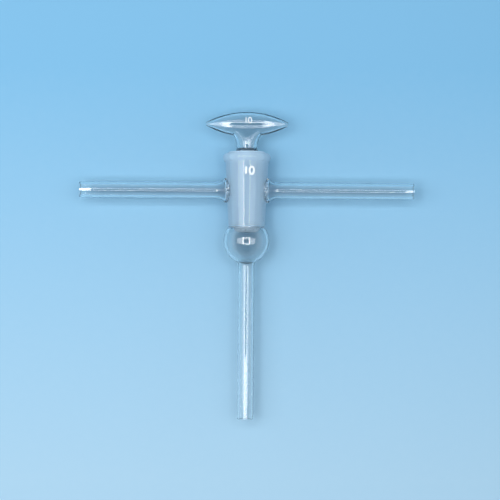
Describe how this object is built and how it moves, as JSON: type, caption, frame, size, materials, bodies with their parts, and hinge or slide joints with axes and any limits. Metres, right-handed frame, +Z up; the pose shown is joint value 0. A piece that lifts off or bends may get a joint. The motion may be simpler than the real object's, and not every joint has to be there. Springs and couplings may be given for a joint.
{
  "type": "three-way glass stopcock",
  "caption": "Three-way blown-glass stopcock: ground barrel with two opposite side arms, a bulb and a bottom tube, and a hollow turning plug with a flat oval handle.",
  "frame": {"origin": "middle of the foot of the box, on the surface the stopcock lies on", "axes": "+X along the two side arms, +Y along the barrel from the bottom tube to the handle, +Z up from the surface it lies on"},
  "size_m": [0.254, 0.2333, 0.0365],
  "materials": {
    "barrel_glass": "clear, with a finely ground matt socket",
    "plug_glass": "clear handle, finely ground matt cone"
  },
  "bodies": {
    "barrel": {"barrel": "barrel_glass"},
    "plug": {"plug": "plug_glass"}
  },
  "joints": [
    {"name": "plug_turn", "type": "hinge", "parent": "barrel", "child": "plug", "pos_m": [0, 0.05705, 0.01825], "axis": [0, 1, 0], "continuous": true}
  ]
}
